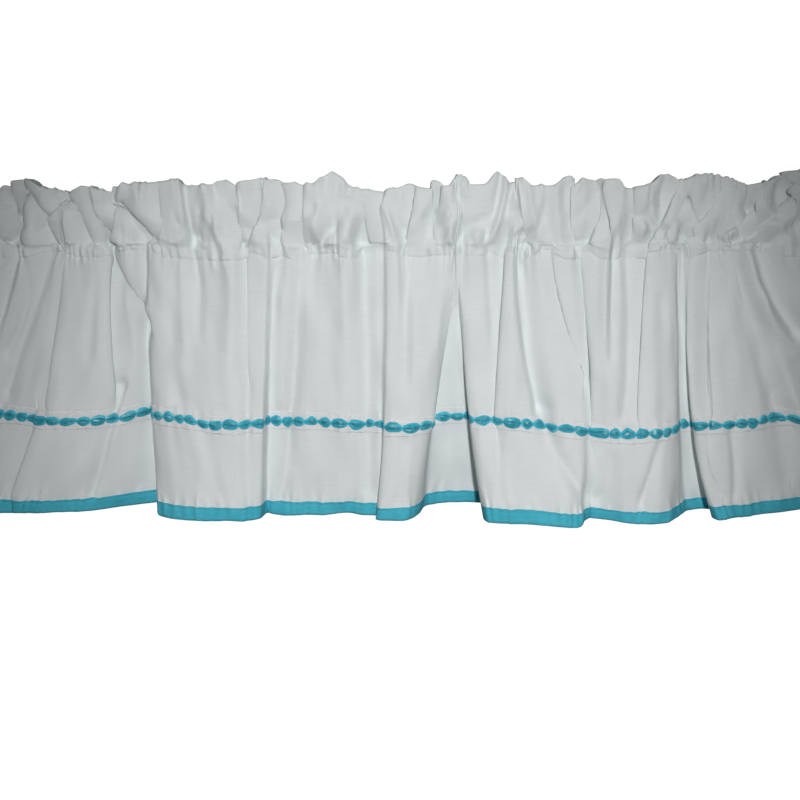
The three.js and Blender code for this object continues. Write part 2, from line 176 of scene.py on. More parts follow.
# How far the stitch line is drawn up or hangs down, at places across.
SEAM_LINE = (
    (-470, 0), (-421, 2), (-391, 1), (-364, 2), (-345, 11), (-330, 11), (-315, 2), (-297, 2),
    (-281, 9), (-261, 14), (-245, 15), (-237, 6), (-225, 1), (-206, -1), (-181, -4), (-157, -3),
    (-148, 11), (-139, 7), (-127, 0), (-116, 2), (-101, -3), (-87, 7), (-64, 8), (-54, 0),
    (-42, 0), (-37, 11), (-8, 12), (0, 3), (24, 2), (31, 5), (54, 4), (58, 10), (68, 4),
    (83, 5), (87, 11), (103, 0), (108, 11), (123, -1), (141, 14), (148, 11), (163, -2),
    (176, 0), (185, 11), (196, -1), (211, -2), (217, 2), (241, -1), (246, 9), (259, 15),
    (273, 14), (284, 0), (298, 11), (332, 12), (353, 10), (374, 3), (401, 1), (470, 0),
)
SEAM_REACH = 26
SEAM_SHARE = 0.6

# The gathering thread draws the cloth into a groove, with a pucker every so often beside it. The
# stitches of the tape and of the lace pucker it too.
GROOVE_DEPTH = 0.2
GROOVE_WIDTH = 2.4
PUCKER_SLANT = 0.12
PUCKER_WIDENING = 0.5
STITCH_PUCKER_SEED = 11
STITCH_PUCKERS = {"spacing": (4, 11), "rise": (0.5, 2.2), "width": (1.6, 3.6), "reach": (6, 26)}
HEM_PUCKER_SEED = 23
HEM_PUCKERS = {"spacing": (7, 15), "rise": (1.2, 3.0), "width": (1.5, 2.8), "reach": (5, 15)}
LACE_PUCKER_SEED = 37
LACE_PUCKERS = {"spacing": (7, 14), "rise": (0.2, 0.8), "width": (1.8, 3.6), "reach": (3, 9)}
TAPE_TOP_DROP = 319.5
LACE_STITCH_OFFSET = 8

# Cotton that has been washed and hung isn't quite even, and its ends have narrow side hems.
SKIRT_WAVE_SEED = 5
CLOTH_WAVES = 26
WAVE_LENGTH = (14, 60)
WAVE_TALL = (50, 220)
WAVE_RISE = 0.0035
WAVE_START = 30
SIDE_HEM = 9
SIDE_HEM_RISE = 0.9
SIDE_HEM_GROOVE = 0.5

COTTON_DARK = (0.745, 0.785, 0.787)
COTTON_LIGHT = (0.795, 0.835, 0.838)
SHADE_PLACES = (0.36, 0.62)
WEFT_STRETCH = 14
WARP_STRETCH = 9
WARP_SHARE = 0.3
MOTTLE_SCALE = 22.0
WEAVE_TURNS = 20
FULL_TURN = 6.2832
CLOTH_SHEEN = 0.02


def named_rows(names, rows):
    """A table's columns by name."""
    return dict(zip(names, np.array(rows, float).T))


def smooth_value(values, position):
    """A smooth value at positions counted in rows, level at each crest and hollow."""
    before = values[1:-1] - values[:-2]
    after = values[2:] - values[1:-1]
    both = before * after
    inner = np.where(both > 0, 2 * both / np.where(both > 0, before + after, 1), 0)
    slope = np.concatenate([[0], inner, [0]])
    i = np.minimum(position.astype(int), len(values) - 2)
    t = position - i
    blend = t * t * (3 - 2 * t)
    bend = t * (1 - t) * ((1 - t) * slope[i] - t * slope[i + 1])
    return values[i] + (values[i + 1] - values[i]) * blend + bend


def through_levels(at_stitch, at_ribbon, at_hem, down):
    """The curve through three levels of the skirt: its stitch line, its ribbon and its hem."""
    ribbon = (RIBBON_DROP - STITCH_DROP) / (HEM_DROP - STITCH_DROP)
    return (
        at_stitch * (down - ribbon) * (down - 1) / ribbon
        + at_ribbon * down * (down - 1) / (ribbon * (ribbon - 1))
        + at_hem * down * (down - ribbon) / (1 - ribbon)
    )


def fold_place(position, drop):
    """The main folds: how far across, out and down a place is, at a position in rows."""
    down = (drop - STITCH_DROP) / (HEM_DROP - STITCH_DROP)
    value = {name: smooth_value(column, position) for name, column in folds.items()}
    across = through_levels(value["acrossStitch"], value["acrossRibbon"], value["acrossHem"], down)
    out = through_levels(value["outStitch"], value["outRibbon"], value["outHem"], down)
    return across, out, drop + through_levels(0, value["sag"], 0, down)


def lap_push(crease, away, width, swell):
    """A lap's push aside and out: the cloth turns back under itself at a rolled edge."""
    turned = math.copysign(1, crease["step"])
    away = away * turned - LAP_EDGE
    turn = away / LAP_TURN
    aside = turned * LAP_OVER * LAP_PEAK * turn * np.exp(-turn * turn)
    width = width * swell
    spread = np.exp(-((away / np.maximum(LAP_SPREAD * width, LAP_SPREAD_LEAST)) ** 2))
    height = (abs(crease["step"]) + LAP_HEIGHT) * swell
    stand = height * np.tanh(LAP_STEEP * turn) * spread
    past = np.maximum(away - ROLL_START, 0) / (ROLL_WIDTH + width / ROLL_WIDTH_SHARE)
    roll = ROLL_HEIGHT * height * (0.5 + 0.5 * np.tanh(ROLL_STEEP * away)) * np.exp(-past)
    return -aside, stand - roll


def crease_push(creases, across, drop, swell=1):
    """How far the creases push a place aside and out."""
    aside = np.zeros(np.broadcast(across, drop).shape)
    total = np.zeros_like(aside)
    for row in creases:
        crease = dict(zip(CREASE_COLUMNS, row))
        tall = crease["dropLow"] - crease["dropTop"]
        reach = crease["acrossLow"] - crease["acrossTop"]
        share = (drop - crease["dropTop"]) / tall
        along = np.clip(share, 0, 1)
        middle = (crease["dropMid"] - crease["dropTop"]) / tall
        off_line = crease["acrossMid"] - crease["acrossTop"] - reach * middle
        bow = off_line / (middle * (middle - 1))
        line = crease["acrossTop"] + reach * along + bow * along * (along - 1)
        lean = (reach + bow * (2 * along - 1)) / tall
        away = (across - line) / np.sqrt(1 + lean * lean)
        width = np.where(away < 0, crease["left"], crease["right"])
        lapped = abs(crease["step"]) > LAP_LEAST
        beyond = (share - along) * tall / (LAP_TAPER if lapped else CREASE_TAPER)
        fade = np.exp(-beyond * beyond)
        if lapped:
            over, stand = lap_push(crease, away, width, swell)
            aside += over * fade
            total += stand * fade
        else:
            rise = crease["riseTop"] + (crease["riseLow"] - crease["riseTop"]) * along
            total += rise * np.exp(-((away / width) ** 2)) * fade
    return aside, total


def pucker_rows(seed, spacing, rise, width, reach):
    """Uneven puckers along a seam: where each stands, its rise, width, reach and slant."""
    draw = np.random.default_rng(seed)
    rows = []
    here = spacing[0] / 2
    while here < cloth_width:
        sizes = [draw.uniform(*span) for span in (rise, width, reach)]
        rows.append((here, *sizes, draw.normal()))
        here += draw.uniform(*spacing)
    return rows


def pucker_rise(rows, along, away):
    """How far the puckers stand out at a distance away from their seam."""
    total = np.zeros(np.broadcast(along, away).shape)
    far = np.abs(away)
    for here, rise, width, reach, slant in rows:
        side = along - here - PUCKER_SLANT * slant * far
        side = side / (width * (1 + PUCKER_WIDENING * far / reach))
        total += rise * np.exp(-side * side - (far / reach) ** 2)
    return total


def soft_waves(seed, along, drop):
    """The faint unevenness of cotton that has been washed and hung."""
    draw = np.random.default_rng(seed)
    total = np.zeros(np.broadcast(along, drop).shape)
    for _ in range(CLOTH_WAVES):
        length, tall = draw.uniform(*WAVE_LENGTH), draw.uniform(*WAVE_TALL)
        start = draw.uniform(0, 2 * math.pi)
        lean = draw.choice((-1, 1))
        wave = np.sin(2 * math.pi * (along / length + lean * drop / tall) + start)
        total += length * WAVE_RISE * wave
    return total


def seam_rise(across):
    """How far the stitch line is drawn up at a place across."""
    at, rise = np.array(SEAM_LINE, float).T
    return SEAM_SHARE * smooth_value(rise, np.interp(across, at, np.arange(len(at))))


def side_hems(along):
    """How far the side hems stand out, with their row of stitches drawn in."""
    inset = np.minimum(along, cloth_width - along) - SIDE_HEM
    folded = SIDE_HEM_RISE * (0.5 - 0.5 * np.tanh(inset))
    return folded - SIDE_HEM_GROOVE * np.exp(-((inset - 1) ** 2))


def skirt_place(along, drop):
    """The middle of the skirt's cloth, at a length along the ribbon and a drop below the top."""
    across, out, fallen = fold_place(np.interp(along, walk_length, walk_position), drop)
    below = drop - STITCH_DROP
    off_lace = np.maximum(np.abs(drop - RIBBON_DROP) - LACE_STITCH_OFFSET, 0)
    aside, rise = crease_push(SKIRT_CREASES, across, drop)
    out = out + rise
    out = out + pucker_rise(stitch_puckers, along, below)
    out = out + pucker_rise(hem_puckers, along, drop - TAPE_TOP_DROP)
    out = out + pucker_rise(lace_puckers, along, off_lace)
    out = out - GROOVE_DEPTH * np.exp(-((below / GROOVE_WIDTH) ** 2))
    out = out + soft_waves(SKIRT_WAVE_SEED, along, drop) * np.clip(below / WAVE_START, 0, 1)
    out = out + side_hems(along)
    fallen = fallen - seam_rise(across) * np.exp(-((below / SEAM_REACH) ** 2))
    return np.stack([across + aside, -out, -fallen], -1)


def new_piece(name, points, faces, material):
    """A smooth piece from its points in millimetres and its faces."""
    mesh = bpy.data.meshes.new(name)
    mesh.from_pydata((points.reshape(-1, 3) * MM).tolist(), [], faces)
    mesh.shade_smooth()
    mesh.materials.append(material)
    piece = bpy.data.objects.new(name, mesh)
    bpy.context.collection.objects.link(piece)
    return piece


def cell_corners(grid):
    """The four corners of each cell of a grid, in turn."""
    return np.stack([grid[:-1, :-1], grid[1:, :-1], grid[1:, 1:], grid[:-1, 1:]], 2)


def grid_piece(name, points, flat, material):
    """A piece from a grid of points, rows by columns, with the flat cloth as its UV map."""
    number = np.arange(points[..., 0].size).reshape(points.shape[:2])
    faces = cell_corners(number).reshape(-1, 4).tolist()
    piece = new_piece(name, points, faces, material)
    uv = piece.data.uv_layers.new(name="flat_cloth")
    uv.data.foreach_set("uv", (cell_corners(flat).reshape(-1, 2) * MM).ravel())
    return piece


def new_material(name):
    """A material with nodes, and its shader."""
    material = bpy.data.materials.new(name)
    material.use_nodes = True
    return material, material.node_tree.nodes["Principled BSDF"]


def set_inputs(material, node, **inputs):
    """Sets a node's inputs, or links them where a socket is given."""
    for name, value in inputs.items():
        socket = node.inputs[int(name[1:]) if name[0] == "i" else name.replace("_", " ")]
        if isinstance(value, bpy.types.NodeSocket):
            material.node_tree.links.new(value, socket)
        else:
            socket.default_value = value


def make_node(material, kind, **inputs):
    """A shader node with its inputs set or linked."""
    node = material.node_tree.nodes.new("ShaderNode" + kind)
    set_inputs(material, node, **inputs)
    return node


def combine(material, operation, *values):
    """The result of a maths node on two or three values."""
    node = make_node(material, "Math", **{f"i{k}": value for k, value in enumerate(values)})
    node.operation = operation
    return node.outputs[0]


def stretched_noise(material, flat, scale, detail):
    """Noise on the flat cloth, stretched along it."""
    place = make_node(material, "Mapping", Vector=flat, Scale=scale).outputs[0]
    noise = make_node(material, "TexNoise", Vector=place, Scale=1.0, Detail=detail)
    return noise.outputs["Fac"]


def shade(material, value, places, dark, light):
    """Colour from dark to light, as a value goes from the first place to the second."""
    ramp = make_node(material, "ValToRGB", Fac=value)
    for element, place, colour in zip(ramp.color_ramp.elements, places, (dark, light)):
        element.position = place
        element.color = (*colour, 1)
    return ramp.outputs["Color"]


def cloth_material(name, dark, light, thread, slub, roughness):
    """Woven cloth: two crossing sets of threads, uneven slubs along the weft, faint mottling."""
    material, shader = new_material(name)
    flat = make_node(material, "UVMap").outputs["UV"]
    weft = stretched_noise(material, flat, (1 / slub, WEFT_STRETCH / slub, 1), 5.0)
    warp = stretched_noise(material, flat, (WARP_STRETCH / slub, 1 / slub, 1), 4.0)
    mottle = make_node(material, "TexNoise", Vector=flat, Scale=MOTTLE_SCALE, Detail=3.0)
    slubs = combine(material, "MULTIPLY_ADD", warp, WARP_SHARE, weft)
    value = combine(material, "ADD", slubs, mottle.outputs["Fac"])
    value = combine(material, "MULTIPLY", value, 1 / (2 + WARP_SHARE))
    waves = []
    for direction in ("X", "Y"):
        scale = 1 / (WEAVE_TURNS * thread * MM) * FULL_TURN
        wave = make_node(material, "TexWave", Vector=flat, Scale=scale, Distortion=0.6)
        wave.bands_direction = direction
        waves.append(wave.outputs["Fac"])
    weave = combine(material, "MULTIPLY", *waves)
    fine = make_node(material, "Bump", Height=weave, Strength=0.25, Distance=0.0001).outputs[0]
    coarse = make_node(
        material, "Bump", Height=slubs, Strength=0.07, Distance=0.0004, Normal=fine
    )
    set_inputs(
        material, shader, Base_Color=shade(material, value, SHADE_PLACES, dark, light),
        Normal=coarse.outputs[0], Roughness=roughness, Sheen_Weight=CLOTH_SHEEN,
        Sheen_Roughness=0.5, Specular_IOR_Level=0.05,
    )
    return material


folds = named_rows(FOLD_COLUMNS, SKIRT_FOLDS)
walk_position = np.linspace(0, len(SKIRT_FOLDS) - 1, WALK_STEPS)
ribbon_walk = np.stack(fold_place(walk_position, np.full(WALK_STEPS, float(RIBBON_DROP))), -1)
walk_steps = np.linalg.norm(np.diff(ribbon_walk, axis=0), axis=1)
walk_length = np.concatenate([[0], np.cumsum(walk_steps)])
cloth_width = walk_length[-1]
stitch_puckers = pucker_rows(STITCH_PUCKER_SEED, **STITCH_PUCKERS)
hem_puckers = pucker_rows(HEM_PUCKER_SEED, **HEM_PUCKERS)
lace_puckers = pucker_rows(LACE_PUCKER_SEED, **LACE_PUCKERS)

cotton = cloth_material(
    "white_cotton", dark=COTTON_DARK, light=COTTON_LIGHT, thread=0.35, slub=0.02, roughness=0.95
)
columns = np.linspace(0, cloth_width, SKIRT_COLUMNS)
along_grid, drop_grid = np.meshgrid(columns, np.linspace(STITCH_DROP, HEM_DROP, SKIRT_ROWS))
skirt_flat = np.stack([along_grid, -drop_grid], -1)
skirt = grid_piece("skirt_cloth", skirt_place(along_grid, drop_grid), skirt_flat, cotton)
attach(skirt, "root")
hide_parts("skirt")

# ---- Beading lace ---------------------------------------------------------------------
# A woven white lace insertion, 18 mm wide, sewn flat to the skirt by both edges. A ladder of
# fine bars down its middle holds the ribbon.
LACE_WIDTH = 18
LACE_OFF = 0.9
LACE_END = 1
LACE_COLUMNS = 2800
LACE_LINES = (
    -1, -0.93, -0.84, -0.76, -0.68, -0.6, -0.4, 0, 0.4, 0.6, 0.68, 0.76, 0.84, 0.93, 1,
)
PICOT_PITCH = 2.6
PICOT_RISE = 0.5
PICOT_LINE = 0.9
CORD_RISE = 0.35
CORD_LINE = 0.64
CORD_WIDTH = 0.05
NET_RISE = 0.28
NET_LINE = 0.66
NET_PITCH = 0.16
EDGE_LINE = 0.97
EDGE_DIP = 0.5
LACE_DARK = (0.74, 0.76, 0.765)
LACE_LIGHT = (0.84, 0.855, 0.86)

# Trims stand off the cloth, and less inside a lap, where they are pressed flat on it. A lap is
# where the cloth gains little across over a short reach to each side.
LAP_REACH = 4
PRESSED = 0.14
OPEN_FROM = 0.3
OPEN_SPAN = 0.4


def off_cloth(place, along, drop, off):
    """A place moved square off the cloth, less inside a lap, where it is pressed flat."""
    across_step, down_step = 0.25, 0.6
    side = place(along + across_step, drop) - place(along - across_step, drop)
    down = place(along, drop + down_step) - place(along, drop - down_step)
    normal = np.cross(down, side)
    normal /= np.linalg.norm(normal, axis=-1, keepdims=True)
    opened = place(along + LAP_REACH, drop) - place(along - LAP_REACH, drop)
    gained = opened[..., 0] / (2 * LAP_REACH)
    pressed = np.clip((gained - OPEN_FROM) / OPEN_SPAN, PRESSED, 1)
    normal *= pressed[..., None]
    normal[..., 1] -= 1 - pressed
    normal /= np.linalg.norm(normal, axis=-1, keepdims=True)
    return place(along, drop) + normal * (np.asarray(off) * pressed)[..., None]


def lace_points():
    """The strip's grid: its edges are scalloped, and cords run along it beside the ladder."""
    lengths = np.linspace(LACE_END, cloth_width - LACE_END, LACE_COLUMNS)
    along, line = np.meshgrid(lengths, np.array(LACE_LINES))
    far = np.abs(line)
    turn = math.pi * along / PICOT_PITCH
    scallop = PICOT_RISE * np.abs(np.sin(turn)) * (far > PICOT_LINE)
    drop = RIBBON_DROP + line * LACE_WIDTH / 2 + np.sign(line) * scallop
    cord = CORD_RISE * np.exp(-(((far - CORD_LINE) / CORD_WIDTH) ** 2))
    net = NET_RISE * np.cos(2 * turn) * np.cos(math.pi * line / NET_PITCH)
    edge = -EDGE_DIP * (far > EDGE_LINE)
    off = LACE_OFF + cord + edge + net * (far > NET_LINE)
    return off_cloth(skirt_place, along, drop, off), np.stack([along, -drop], -1)


lace_thread = cloth_material(
    "white_lace_thread", dark=LACE_DARK, light=LACE_LIGHT, thread=0.9, slub=0.012, roughness=0.9
)
lace = grid_piece("beading_lace_strip", *lace_points(), lace_thread)
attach(lace, "root")
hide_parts("beading_lace")

# ---- Satin ribbon ---------------------------------------------------------------------
# Turquoise satin, 10 mm wide, threaded over and under the ladder's bars. Each bar draws it in to
# a neck, and it puffs out unevenly between two bars.
RIBBON_SEED = 8
RIBBON_HALF = 5
RIBBON_OFF = 1.6
RIBBON_END = 1.5
RIBBON_COLUMNS_PER_PUFF = 18
RIBBON_LINES = 13
NECK_WIDTH = (2.4, 4.4)
NECK_SLIP = (-0.9, 0.9)
PUFF_LENGTH = (10.5, 18.5)
PUFF_WIDTH = (8.6, 12.0)
PUFF_RISE = (1.4, 3.2)
PUFF_FULLNESS = (0.35, 0.9)
PUFF_LEAN = (0.7, 1.4)
PUFF_LOP = (-1.1, 1.1)
PUFF_CROWN = 2.5
TUCK_COUNT = (2, 5)
TUCK_TURN = (0, 6.28)
TUCK_RISE = 0.6
TUCK_FLATTENED = 0.6
PLEAT_PLACE = (-0.7, 0.7)
PLEAT_SLANT = 0.5
PLEAT_DEPTH = 0.9
PLEAT_WIDTH = 0.22
# The satin's colours: random noise along its floats, plus painted shade that darkens the middle of
# each puff and painted highlight that lightens it towards its edges and necks.
SATIN_DARK = (0.022, 0.235, 0.31)
SATIN_LIGHT = (0.075, 0.58, 0.74)
SATIN_PLACES = (0.3, 0.85)
SATIN_FLOATS = (260, 420, 1)
SATIN_GRAIN = (600, 5000, 1)
SATIN_PAINTED_SHADE_MIDDLE = -0.1
SATIN_PAINTED_HIGHLIGHT_EDGES = 0.5


def ribbon_points():
    """The ribbon's grid of points."""
    draw = np.random.default_rng(RIBBON_SEED)
    necks = [RIBBON_END]
    while necks[-1] < cloth_width - RIBBON_END - PUFF_LENGTH[1]:
        necks.append(necks[-1] + draw.uniform(*PUFF_LENGTH))
    necks = np.array(necks + [cloth_width - RIBBON_END])
    count = len(necks) - 1
    neck_width = draw.uniform(*NECK_WIDTH, count + 1)
    neck_slip = draw.uniform(*NECK_SLIP, count + 1)
    steps = np.arange(count * RIBBON_COLUMNS_PER_PUFF + 1)
    puff = np.minimum(steps // RIBBON_COLUMNS_PER_PUFF, count - 1)
    t = steps / RIBBON_COLUMNS_PER_PUFF - puff
    width = draw.uniform(*PUFF_WIDTH, count)
    rise = draw.uniform(*PUFF_RISE, count)
    fullness = draw.uniform(*PUFF_FULLNESS, count)
    lean = draw.uniform(*PUFF_LEAN, count)
    tucks = draw.integers(*TUCK_COUNT, count)
    turn = draw.uniform(*TUCK_TURN, count)
    lop = draw.uniform(*PUFF_LOP, count)
    pleat = draw.uniform(*PLEAT_PLACE, count)
    swell = np.clip(np.sin(math.pi * t ** lean[puff]), 0, 1)
    swell = swell ** fullness[puff]
    along = necks[puff] + (necks[puff + 1] - necks[puff]) * t
    neck = neck_width[puff] + (neck_width[puff + 1] - neck_width[puff]) * t
    slip = neck_slip[puff] + (neck_slip[puff + 1] - neck_slip[puff]) * t
    wide = neck + (width[puff] - neck) * swell
    v = np.linspace(-1, 1, RIBBON_LINES)[:, None]
    drop = RIBBON_DROP + slip + lop[puff] * swell * np.sin(math.pi * t) + v * wide / 2
    crown = rise[puff] * swell * (1 - np.abs(v) ** PUFF_CROWN)
    tuck = TUCK_RISE * np.cos(math.pi * tucks[puff] * v + turn[puff])
    tuck = tuck * (1 - swell * TUCK_FLATTENED)
    off_pleat = (v - pleat[puff] - PLEAT_SLANT * (t - 0.5)) / PLEAT_WIDTH
    tuck = tuck - PLEAT_DEPTH * swell * np.exp(-(off_pleat ** 2))
    off = RIBBON_OFF + crown + tuck * (1 - v * v)
    along = np.broadcast_to(along, drop.shape)
    # At a neck the UV runs out to the ribbon's edge, so the satin's painted highlight covers it;
    # within a puff it keeps to the width, with painted shade in the middle.
    edge = np.sign(v) * (1 - (1 - np.abs(v)) * swell)
    return off_cloth(skirt_place, along, drop, off), np.stack([along, edge * RIBBON_HALF], -1)


def satin_material():
    """Satin: smooth floats that run along the ribbon, with painted shade darkening the middle of
    each puff and painted highlight lightening its edges and necks.
    """
    material, shader = new_material("turquoise_satin_ribbon")
    flat = make_node(material, "UVMap").outputs["UV"]
    floats = stretched_noise(material, flat, SATIN_FLOATS, 3.0)
    # Painted shade and highlight: the colour is darker across the middle of each puff and lighter
    # towards the ribbon's edges and at the necks.
    side = make_node(material, "SeparateXYZ", Vector=flat).outputs["Y"]
    squared = combine(material, "MULTIPLY", side, side)
    edges = SATIN_PAINTED_HIGHLIGHT_EDGES / (RIBBON_HALF * MM) ** 2
    value = combine(material, "MULTIPLY_ADD", squared, edges, SATIN_PAINTED_SHADE_MIDDLE)
    value = combine(material, "ADD", value, floats)
    fine = stretched_noise(material, flat, SATIN_GRAIN, 2.0)
    bump = make_node(material, "Bump", Height=fine, Strength=0.2, Distance=0.0001)
    set_inputs(
        material, shader, Base_Color=shade(material, value, SATIN_PLACES, SATIN_DARK, SATIN_LIGHT),
        Normal=bump.outputs[0], Roughness=0.36, Anisotropic=0.6, Specular_IOR_Level=0.5,
    )
    return material


ribbon = grid_piece("satin_ribbon", *ribbon_points(), satin_material())
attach(ribbon, "root")
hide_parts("ribbon")

# ---- Hem tape -------------------------------------------------------------------------
# Turquoise bias tape, folded over the raw lower edge and stitched through all its layers near
# its top. It shows about 13 mm tall on the front and on the back.
TAPE_COLUMNS = 720
TAPE_END = 0.5
TAPE_LOWEST = 1
TAPE_FULLNESS = 1.3

# Round the tape's section, from the top of its front to the top of its back: how far off the
# middle of the cloth and how far up or down from the cloth's lower edge.
TAPE_LINES = (
    (0.2, -14.4), (0.7, -14.8), (0.95, -14.3), (0.85, -13.2), (0.42, -12.4), (0.85, -11.6),
    (1.0, -8.5), (1.1, -5.2), (1.35, -3.4), (1.1, -2.1), (0.3, -0.5), (-0.4, -0.05),
    (-0.85, -0.7), (-1.0, -2), (-0.95, -6), (-0.6, -11), (-0.9, -13.4), (-0.2, -13.8),
)
TAPE_RIPPLE = 0.22
TAPE_RIPPLE_LENGTH = 2.1
TAPE_RIPPLE_LEAN = 0.5
TAPE_RIPPLE_STRAY = (2, 17)
TAPE_RIPPLE_REACH = 12
TAPE_PINCH = 0.4
TAPE_WANDER = 0.25
TAPE_WANDER_LENGTHS = (6.5, 31)
TAPE_FLAT_PER_OFF = 3
TAPE_DARK = (0.060, 0.42, 0.54)
TAPE_LIGHT = (0.088, 0.53, 0.67)


def tape_points():
    """The tape's grid: down its front, round the cloth's edge and up its back."""
    off, low = np.array(TAPE_LINES).T
    along, off = np.meshgrid(np.linspace(TAPE_END, cloth_width - TAPE_END, TAPE_COLUMNS), off)
    low = np.broadcast_to(low[:, None], along.shape)
    stray = TAPE_RIPPLE_STRAY[0] * np.sin(along / TAPE_RIPPLE_STRAY[1])
    ripple = np.sin(along / TAPE_RIPPLE_LENGTH + low * TAPE_RIPPLE_LEAN + stray)
    ripple = TAPE_RIPPLE * ripple * np.sign(off) * np.clip(-low / TAPE_RIPPLE_REACH, 0, 1)
    ripple = ripple * np.clip(np.abs(off) - TAPE_PINCH, 0, 1)
    short, long = TAPE_WANDER_LENGTHS
    wander = TAPE_WANDER * np.sin(along / short + np.sin(along / long))
    drop = HEM_DROP + TAPE_LOWEST + low + wander
    level = np.minimum(drop, HEM_DROP + TAPE_LOWEST)
    points = off_cloth(skirt_place, along, level, off * TAPE_FULLNESS + ripple)
    return points, np.stack([along, -drop - off * TAPE_FLAT_PER_OFF], -1)


tape_weave = cloth_material(
    "turquoise_bias_tape", dark=TAPE_DARK, light=TAPE_LIGHT, thread=0.3, slub=0.012, roughness=0.8
)
tape = grid_piece("hem_tape", *tape_points(), tape_weave)
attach(tape, "root")
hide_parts("hem_binding")

# ---- Machine stitches -----------------------------------------------------------------
# Polyester thread in machine stitches, 2.8 mm from one to the next: white along both edges of the
# lace, turquoise along the top of the tape. Each lies on the cloth and dips into it at both ends.
STITCH_PITCH = 2.8
STITCH_LENGTH = 2.3
STITCH_END = 3
STITCH_SIDES = 5
THREAD_RADIUS = 0.17
THREAD_TWIST = 2500.0

# Along one stitch: how far from its middle as a share of its length, how thick as a share of the
# thread, and how much higher or lower than its row.
STITCH_SHAPE = ((-0.5, 0.5, -0.2), (-0.32, 1, 0), (0.32, 1, 0), (0.5, 0.5, -0.2))

# Each row of stitches has its drop and its height off the cloth.
LACE_STITCH_ROWS = ((RIBBON_DROP - 8.2, 1.1), (RIBBON_DROP + 8.2, 1.1))
TAPE_STITCH_ROWS = ((HEM_DROP + TAPE_LOWEST - 12.4, 0.45),)
WHITE_THREAD = ((0.62, 0.62, 0.64), (0.86, 0.86, 0.88))
TURQUOISE_THREAD = ((0.03, 0.24, 0.31), (0.06, 0.40, 0.50))


def stitch_ring(along, drop, off, wide):
    """The rings of all stitches in a row at one place along each stitch."""
    level = np.full_like(along, float(drop))
    height = np.full_like(along, off)
    low = off_cloth(skirt_place, along, level, height)
    high = off_cloth(skirt_place, along, level, height + 1)
    below = off_cloth(skirt_place, along, level + 1, height)
    ring = []
    for angle in np.arange(STITCH_SIDES) * 2 * math.pi / STITCH_SIDES:
        spoke = math.cos(angle) * (high - low) + math.sin(angle) * (below - low)
        ring.append(low + THREAD_RADIUS * wide * spoke)
    return ring


def stitch_faces(count):
    """The faces of a number of stitches: the sides of each, then its two ends."""
    last = (len(STITCH_SHAPE) - 1) * STITCH_SIDES
    one = []
    for start in range(0, last, STITCH_SIDES):
        for side in range(STITCH_SIDES):
            a, b = start + side, start + (side + 1) % STITCH_SIDES
            one.append((a, b, b + STITCH_SIDES, a + STITCH_SIDES))
    one.append(tuple(range(STITCH_SIDES))[::-1])
    one.append(tuple(range(last, last + STITCH_SIDES)))
    bases = range(0, count * (last + STITCH_SIDES), last + STITCH_SIDES)
    return [tuple(base + corner for corner in face) for base in bases for face in one]


def stitch_piece(name, rows, material):
    """One piece for rows of stitches, each row given by its drop and its height off the cloth."""
    middle = np.arange(STITCH_END, cloth_width - STITCH_END, STITCH_PITCH)
    points = []
    for drop, off in rows:
        rings = []
        for place, wide, sink in STITCH_SHAPE:
            rings += stitch_ring(middle + place * STITCH_LENGTH, drop, off + sink, wide)
        points.append(np.stack(rings, 1).reshape(-1, 3))
    return new_piece(name, np.concatenate(points), stitch_faces(len(rows) * len(middle)), material)


def thread_material(name, dark, light):
    """Spun thread: a fine twist in its colour."""
    material, shader = new_material(name)
    where = make_node(material, "TexCoord").outputs["Object"]
    twist = make_node(material, "TexNoise", Vector=where, Scale=THREAD_TWIST, Detail=2.0)
    set_inputs(
        material, shader, Base_Color=shade(material, twist.outputs["Fac"], (0, 1), dark, light),
        Roughness=0.85, Specular_IOR_Level=0.1,
    )
    return material


white_thread = thread_material("white_thread", *WHITE_THREAD)
lace_stitches = stitch_piece("lace_stitches", LACE_STITCH_ROWS, white_thread)
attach(lace_stitches, "root")

tape_thread = thread_material("turquoise_thread", *TURQUOISE_THREAD)
tape_stitches = stitch_piece("tape_stitches", TAPE_STITCH_ROWS, tape_thread)
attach(tape_stitches, "root")

# ---- Rod pocket -----------------------------------------------------------------------
# The top of the same length of cotton, turned back over the rod and stitched down. It gathers
# unevenly along the rod, in pleats that open towards the top edge.
POCKET_ROWS_FRONT = 56
POCKET_ROWS_BACK = 30
SECTION_STEPS = 1200

